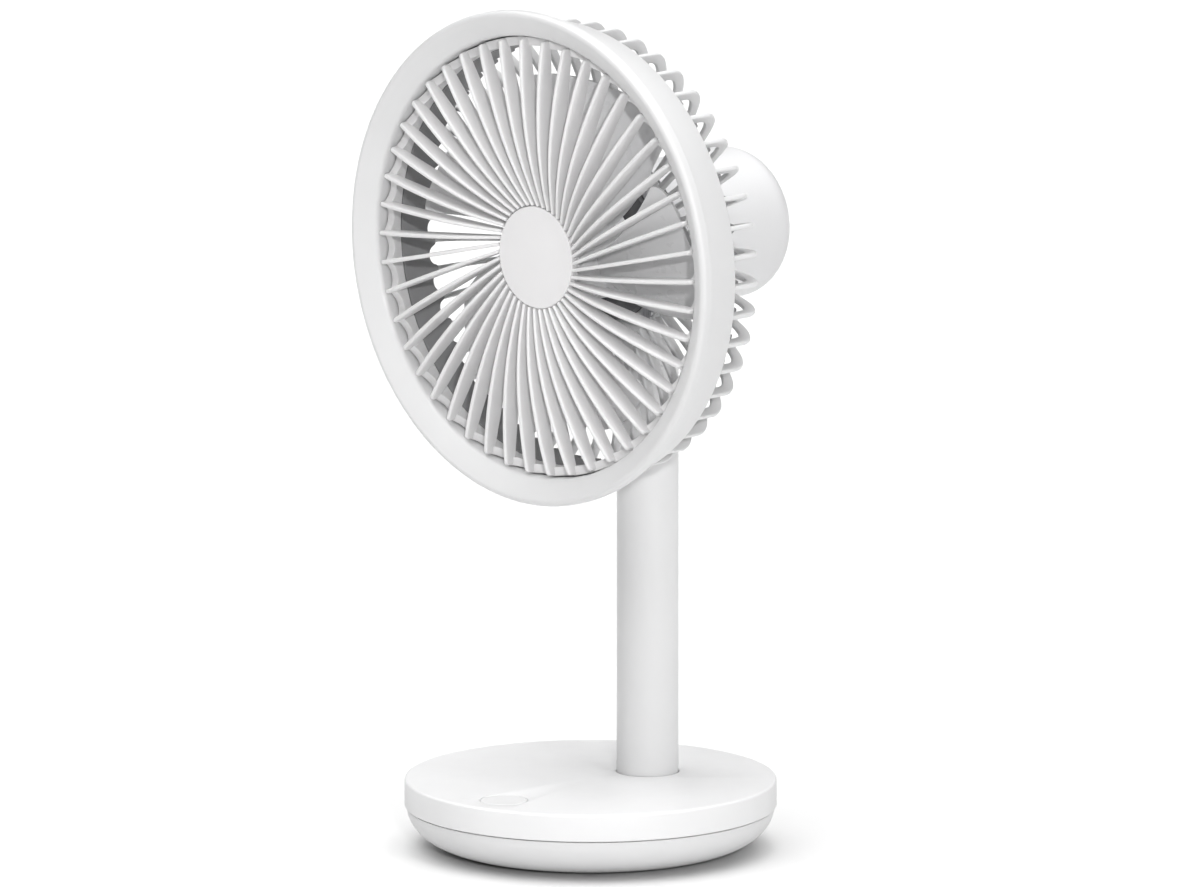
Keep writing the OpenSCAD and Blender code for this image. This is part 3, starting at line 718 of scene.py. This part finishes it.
def make_front_grille():
    """46 spiral ribs between a small hub plate and a stepped rim, whose front edge is arched."""
    turns = [math.radians(rib_first + i * 360 / rib_count) for i in range(rib_count)]
    ribs = piece_from("ribs", *merged(rib_mesh(turn) for turn in turns), grille_white, LONG_SHARP)

    tip_angle = math.radians(rib_first) - math.asin(rib_offset / rib_tip_r)
    rim_front, rim_outer_r, step_r, rim_rear = 1.5, 88.85, 86.9, 8.35
    arch_height = 2.9

    def arched(r, a, depth):
        """The rim's front edge meets each rib's foot and arches back between the feet."""
        beside = abs(math.sin((a - tip_angle) * rib_count / 2))
        return in_head(r, a, depth + arch_height * beside ** 0.8 if depth < 3 else depth)

    rim = turned("rim", [(rim_inner_r, rim_front, 0.35), (rim_outer_r, rim_front, 0.5),
                         (rim_outer_r, 5.2, 0.3), (step_r, 5.6, 0.3), (step_r, rim_rear, 0.25),
                         (rim_inner_r, rim_rear, 0.25)], arched, grille_white,
                 segments=rib_count * 20, steps=3)
    hub_front, hub_plate_r = 1.32, disc_r + 0.5
    hub = turned("hub", [(0, hub_front), (hub_plate_r, hub_front, 0.2),
                         (hub_plate_r, rib_back, 0.2), (0, rib_back)],
                 in_head, grille_white, segments=128)
    grille = join("Front_Grille", [ribs, rim, hub])
    stand_for(grille, "head", "grille_white", "front_grille")


def make_centre_disc():
    rear = 1.3
    corners = [(0, -disc_proud), (disc_r, -disc_proud, 0.55), (disc_r, rear, 0.1), (0, rear)]
    disc = turned("Centre_Disc", corners, in_head, disc_white, segments=160, steps=5)
    stand_for(disc, "head", "disc_white", "centre_disc")


def make_duct_ring():
    """The inner duct; its rear edge is scalloped, so every slot between hooks ends half round."""
    per_slot, scoop = 20, 4.0
    front, flange_back, flange_r_out = 8.85, 10.5, 92.4
    outer_r, scoop_front, rear = duct_r + duct_wall, 22.6, duct_back

    def place(r, a, depth):
        if depth < rear - 1.2:
            return in_head(r, a, depth)
        along = abs((math.degrees(a) - hook_first + hook_step / 2) % hook_step - hook_step / 2)
        across = math.radians(hook_step / 2 - along) * duct_r
        dip = math.sqrt(max(0.0, scoop ** 2 - across ** 2))
        return in_head(r, a, depth - dip)

    corners = [(duct_r, front, 0.3), (flange_r_out, front, 0.2),
               (flange_r_out - 0.2, flange_back, 0.2), (outer_r, flange_back, 0.6),
               (outer_r, scoop_front, 0), (outer_r, rear, 0.5), (duct_r, rear, 0.5),
               (duct_r, scoop_front, 0)]
    # The duct wears painted shade: dark grey for the shade inside the head.
    duct = turned("Duct_Ring", corners, place, duct_painted_shade, segments=hook_count * per_slot, steps=3)
    stand_for(duct, "head", "guard_white", "duct_ring")


def guard_dome(r):
    """Depth of the guard's back at a radius: flat in the middle, then domed."""
    flat_r, drop, drop_r = 52, 7.6, 34
    return guard_back if r < flat_r else guard_back - drop * ((r - flat_r) / drop_r) ** 2


def bend(start, knee, end, steps):
    """Points on a smooth curve that leaves start towards the knee and comes to end from it."""
    return [(start[0] * (1 - t) ** 2 + knee[0] * 2 * t * (1 - t) + end[0] * t * t,
             start[1] * (1 - t) ** 2 + knee[1] * 2 * t * (1 - t) + end[1] * t * t)
            for t in (k / steps for k in range(steps + 1))]


def hook_outline():
    """Side view of a hooked rib: out of the wall, round the bend, along the dome to the collar."""
    outer_r, depth, arm_start, arm_end, root = 92.8, 4.4, 76.0, 36.2, 16
    inner_r, below_dome = outer_r - depth, 0.1
    arm = [arm_start - 6 * k for k in range(1, 7)] + [arm_end]
    outside = bend((outer_r, 28.0), (outer_r, 37.6),
                   (arm_start, guard_dome(arm_start) - below_dome), 12)
    outside += [(r, guard_dome(r) - below_dome) for r in arm]
    inside = [(r, guard_dome(r) - depth) for r in arm[::-1]]
    inside += bend((arm_start - 0.6, guard_dome(arm_start) - depth), (inner_r, 33.6),
                   (inner_r, 27.0), 8)
    return [(inner_r, root), (outer_r, root), *outside, *inside]


def hook_mesh(angle):
    """One hooked rib with bullnosed edges, layer by layer across its thickness."""
    outline = [Vector(p) for p in hook_outline()]
    count = len(outline)
    half, nose, steps = 1.0, 0.75, 4
    layers = []
    for k in range(steps + 1):
        turn = math.pi / 2 * k / steps
        layers.append((-half + nose * (1 - math.cos(turn)), nose * (1 - math.sin(turn))))
    layers += [(-t, inset) for t, inset in reversed(layers)]
    inward = []
    for i, here in enumerate(outline):
        edge_in = (here - outline[i - 1]).normalized()
        edge_out = (outline[(i + 1) % count] - here).normalized()
        along = (edge_in + edge_out).normalized()
        inward.append(Vector((-along.y, along.x)))
    vertices = []
    for t, inset in layers:
        for here, side in zip(outline, inward):
            r, depth = here + side * inset
            vertices.append((head_x + r * math.cos(angle) - t * math.sin(angle), face_y + depth,
                             head_z + r * math.sin(angle) + t * math.cos(angle)))
    return vertices, skin_between(len(layers), count)


def make_rear_guard():
    """The tapered wall behind the bezel, 48 hooks out of it, and the collar that they run to."""
    wall_front, rear_r, rear_depth, thick = -0.8, 93.5, 19, 2.4
    wall = turned("wall", [(guard_r, wall_front, 0.3), (rear_r, rear_depth, 0.9),
                           (rear_r - 2, rear_depth, 0.4), (guard_r - thick, 0.4, 0.3),
                           (guard_r - thick, wall_front, 0.2)], in_head, guard_white, segments=256)
    collar_in, collar_out, collar_front = housing_r + 0.06, 37.2, guard_back - 4.6
    collar = turned("collar", [(collar_in, collar_front, 0.3), (collar_out, collar_front, 0.5),
                               (collar_out, guard_back, 0.7), (collar_in, guard_back, 0.3)],
                    in_head, guard_white, segments=160)
    turns = [math.radians(hook_first + i * hook_step) for i in range(hook_count)]
    hooks = piece_from("hooks", *merged(hook_mesh(turn) for turn in turns), guard_white, LONG_SHARP)
    guard = join("Rear_Guard", [wall, collar, hooks])
    stand_for(guard, "head", "guard_white", "rear_guard")


def make_motor_mount():
    """The plate and flange that hold the motor, the guard's collar and the drum together."""
    bearing_r, boss_r = 5.52, 8
    plate_front, plate_back, boss_back = 37.0, 39.4, 41.2
    flange_front, joint = guard_back + 0.05, drum_front - 0.3
    spigot_r, spigot_wall, spigot_back = housing_r - 2.25, 1.6, joint + 2
    # The mount wears painted shade: near black for the deep shade inside the head.
    mount = turned("Motor_Mount", [
        (bearing_r, plate_front, 0.2), (housing_r, plate_front, 0.8), (housing_r, flange_front, 0),
        (flange_r, flange_front, 0.3), (flange_r, joint, 0.9), (spigot_r, joint, 0),
        (spigot_r, spigot_back, 0.4), (spigot_r - spigot_wall, spigot_back, 0.3),
        (spigot_r - spigot_wall, plate_back, 0.8), (boss_r, plate_back, 0.3),
        (boss_r, boss_back, 0.3), (bearing_r, boss_back, 0.2)], in_head, mount_painted_shade, segments=160)
    stand_for(mount, "head", "housing_white", "motor_mount")


def make_motor_housing():
    """The drum, open below for the post's tongue, with the two ears of the tilt hinge inside."""
    wall, curve = 2.2, 12
    outside = arc_points(housing_r - curve, drum_back - curve, curve, 0, 90, 24)
    inside = arc_points(housing_r - curve, drum_back - curve, curve - wall, 90, 0, 12)
    drum = turned("drum", [(housing_r, drum_front, 0.5), *outside, (0, drum_back),
                           (0, drum_back - wall), *inside, (housing_r - wall, drum_front, 0.3)],
                  in_head, housing_white, segments=192)
    slot = prism("slot", rectangle(7.5, 50.2, 91.6, 2.4, 6),
                 lambda x, d, t: (head_x + x, face_y + d, head_z - t), 12, 34, housing_white)
    cut(drum, slot, sharp=SHARP_AFTER_CUT)
    ears = []
    for side in (-1, 1):
        def across(d, z, t, side=side):
            return head_x + side * t, pin_y + d, head_z + z

        ear = prism("ear", rectangle(7.5, -6.0, 27.4, 3.0, 6), across, 8.0, 12.0,
                    housing_white, 0.4)
        ears.append(cut(ear, prism("hole", circle(2.5, 40), across, 6, 14, housing_white)))
    housing = join("Motor_Housing", [drum, *ears])
    stand_for(housing, "head", "housing_white", "motor_housing")


# ---- Fan ----

blade_count = 5
blade_first = -16       # degrees
blade_span = 56
blade_sweep = 23
hub_r = 21
blade_r = 73
blade_root = 1.2        # how deep a blade reaches into the hub


def blade_point(u, v, side):
    """A point of one blade: u runs from hub to tip, v from the edge in front to the one behind."""
    edge = abs(2 * v - 1)
    tip = blade_r - 5.0 * edge ** 7
    r = hub_r - blade_root + (tip - hub_r + blade_root) * u
    span = math.radians(blade_span) * (0.86 + 0.14 * u)
    angle = -span * (v - 0.5) * (1 - 0.12 * edge ** 4 * u) + math.radians(blade_sweep) * u
    pitch = math.radians(34 - 12 * u)
    depth = 19 + (v - 0.5) * min(24, r * span * math.tan(pitch)) - 2.2 * math.sin(math.pi * v)
    belly = 0.8 * (0.3 + 0.7 * math.sin(math.pi * v) ** 0.6)
    return r, angle, depth + side * belly


def blade_mesh(first, cells=26):
    """One twisted blade: two sheets of cells by cells faces, closed round their edges."""
    stops = range(cells + 1)
    vertices = []
    for side in (-1, 1):
        for i in stops:
            for j in stops:
                r, angle, depth = blade_point(i / cells, j / cells, side)
                vertices.append(in_head(r, first + angle, depth))

    def at(side, i, j):
        return (side * (cells + 1) + i) * (cells + 1) + j

    faces = []
    for i in range(cells):
        for j in range(cells):
            faces.append((at(0, i, j), at(0, i + 1, j), at(0, i + 1, j + 1), at(0, i, j + 1)))
            faces.append((at(1, i, j), at(1, i, j + 1), at(1, i + 1, j + 1), at(1, i + 1, j)))
    for i in range(cells):
        for j in (0, cells):
            faces.append((at(0, i, j), at(0, i + 1, j), at(1, i + 1, j), at(1, i, j)))
    for j in range(cells):
        for i in (0, cells):
            faces.append((at(0, i, j), at(0, i, j + 1), at(1, i, j + 1), at(1, i, j)))
    return vertices, faces


def make_fan_blades():
    """Five swept blades on a cup-shaped hub with a sleeve for the motor's shaft."""
    firsts = [math.radians(blade_first + b * 360 / blade_count) for b in range(blade_count)]
    blades = piece_from("blades", *merged(blade_mesh(first) for first in firsts), blade_white,
                        LONG_SHARP)
    bore, sleeve_r, cup_r = 2.02, 5, hub_r - 2.2
    nose, floor_depth, sleeve_back, cup_back = 6.0, 8.8, 32, 34
    hub = turned("hub", [(bore, nose, 0.3), (hub_r - 1.4, nose, 2.4), (hub_r, 11, 2),
                         (hub_r, cup_back, 0.6), (cup_r, cup_back, 0.4), (cup_r, floor_depth, 0.8),
                         (sleeve_r, floor_depth, 0.3), (sleeve_r, sleeve_back, 0.4),
                         (bore, sleeve_back, 0.2)], in_head, blade_white, segments=160, steps=6)
    fan = join("Fan_Blades", [blades, hub])
    stand_for(fan, "rotor", "blade_white", "fan_blades")


# ---- CAD nodes that stay, with their finish ----

kept_nodes = {
    "ballast_plate": ballast_steel, "battery_cells": cell_wrap, "battery_tray": inner_black,
    "control_board": board_green, "button_board": board_green, "button_spring": screw_steel,
    "swivel_motor": screw_steel, "lower_bush": bush_bronze, "post_collar": acetal,
    "drive_pinion": acetal, "post_foot": inner_grey, "swivel_gear": acetal,
    "inner_cable": cable_rubber, "tilt_pin": screw_steel,
    "friction_washers": washer_fibre, "guard_screws": screw_steel, "motor_stator": copper,
    "shaft_bearings": screw_steel, "driver_board": board_green, "motor_rotor": screw_steel,
    "motor_shaft": screw_steel, "blade_nut": inner_grey,
}


def finish_kept_nodes():
    for name, material in kept_nodes.items():
        mesh_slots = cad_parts[name].data.materials
        mesh_slots.clear()
        mesh_slots.append(material)


# ---- Floor, light and camera ----

def make_floor():
    """A plain pale floor, 18 m across."""
    shape = bmesh.new()
    bmesh.ops.create_grid(shape, x_segments=24, y_segments=24, size=9)
    mesh = bpy.data.meshes.new("Floor")
    shape.to_mesh(mesh)
    shape.free()
    floor = add_to_scene("Floor", mesh)
    material, nodes, links, shader = node_tree("pale_floor")
    tone = noise(nodes, links, 0.8, 2)
    ramp_between(nodes, links, tone.outputs["Fac"], (0.68, 0.68, 0.68), (0.7, 0.7, 0.7),
                 shader.inputs["Base Color"])
    shader.inputs["Roughness"].default_value = 0.9
    shader.inputs["Specular IOR Level"].default_value = 0.1
    floor.data.materials.append(material)


def aim(thing, azimuth, elevation, distance, target):
    """Stands a light or the camera off in a direction, looking at target; azimuth 0 is in front."""
    a, e = math.radians(azimuth), math.radians(elevation)
    away = Vector((math.sin(a) * math.cos(e), -math.cos(a) * math.cos(e), math.sin(e)))
    thing.location = target + away * distance
    thing.rotation_mode = "QUATERNION"
    thing.rotation_quaternion = (-away).to_track_quat("-Z", "Y")


def add_sun(name, azimuth, elevation, strength, width):
    """Light from one direction, from a source that looks width degrees wide."""
    light = bpy.data.lights.new(name, "SUN")
    light.energy = strength
    light.angle = math.radians(width)
    aim(add_to_scene(name, light), azimuth, elevation, 3, Vector((0, 0, 0)))


def add_panel(name, azimuth, elevation, distance, size, power):
    """A rectangular lamp, of size metres, that faces the middle of the fan."""
    light = bpy.data.lights.new(name, "AREA")
    light.shape = "RECTANGLE"
    light.size, light.size_y = size
    light.energy = power
    aim(add_to_scene(name, light), azimuth, elevation, distance, Vector((0, 0, 0.15)))


def make_world():
    """A studio all round: dim at the sides, and a wide bright ceiling."""
    narrowness, ceiling_strength, side_strength = 5.0, 4.9, 0.06
    world = bpy.data.worlds.new("Studio")
    world.use_nodes = True
    nodes, links = world.node_tree.nodes, world.node_tree.links
    direction = nodes.new("ShaderNodeTexCoord")
    parts = nodes.new("ShaderNodeSeparateXYZ")
    upward = nodes.new("ShaderNodeClamp")
    ceiling_light = nodes.new("ShaderNodeMath")
    ceiling_light.operation = "POWER"
    ceiling_light.inputs[1].default_value = narrowness
    total = nodes.new("ShaderNodeMath")
    total.operation = "MULTIPLY_ADD"
    total.inputs[1].default_value = ceiling_strength
    total.inputs[2].default_value = side_strength
    links.new(direction.outputs["Generated"], parts.inputs["Vector"])
    links.new(parts.outputs["Z"], upward.inputs["Value"])
    links.new(upward.outputs["Result"], ceiling_light.inputs[0])
    links.new(ceiling_light.outputs["Value"], total.inputs[0])
    links.new(total.outputs["Value"], nodes["Background"].inputs["Strength"])
    nodes["Background"].inputs["Color"].default_value = (1, 1, 1, 1)
    bpy.context.scene.world = world


def make_light():
    """A key sun beside the camera, a wide wash from above in front, a tall strip at the right."""
    make_world()
    add_sun("Key", 50, 17, 1.1, 1.5)
    add_sun("Wash", 0, 52, 0.55, 40)
    add_panel("Strip", 80, 3, 2.6, (0.1, 2.6), 22)
    bpy.context.scene.view_settings.view_transform = "Standard"
    bpy.context.scene.view_settings.look = "None"


def make_camera():
    """The photo's view: far off, with a long lens, right of the front and a little above."""
    azimuth, elevation, distance, target = 44.84, 11.15, 12.06, Vector((0.0002, 0, 0.166))
    camera = bpy.data.cameras.new("Camera")
    camera.sensor_width = 36
    camera.lens = 913.7
    camera.clip_end = 100
    holder = add_to_scene("Camera", camera)
    aim(holder, azimuth, elevation, distance, target)
    bpy.context.scene.camera = holder


make_camera()
make_base_cover()
make_base_bowl()
make_base_screws()
make_rubber_pad()
make_power_button()
make_charge_socket()
make_post()
make_post_dome()
make_tilt_yoke()
make_bezel()
make_front_grille()
make_centre_disc()
make_duct_ring()
make_rear_guard()
make_motor_mount()
make_motor_housing()
make_fan_blades()
finish_kept_nodes()
make_floor()
make_light()
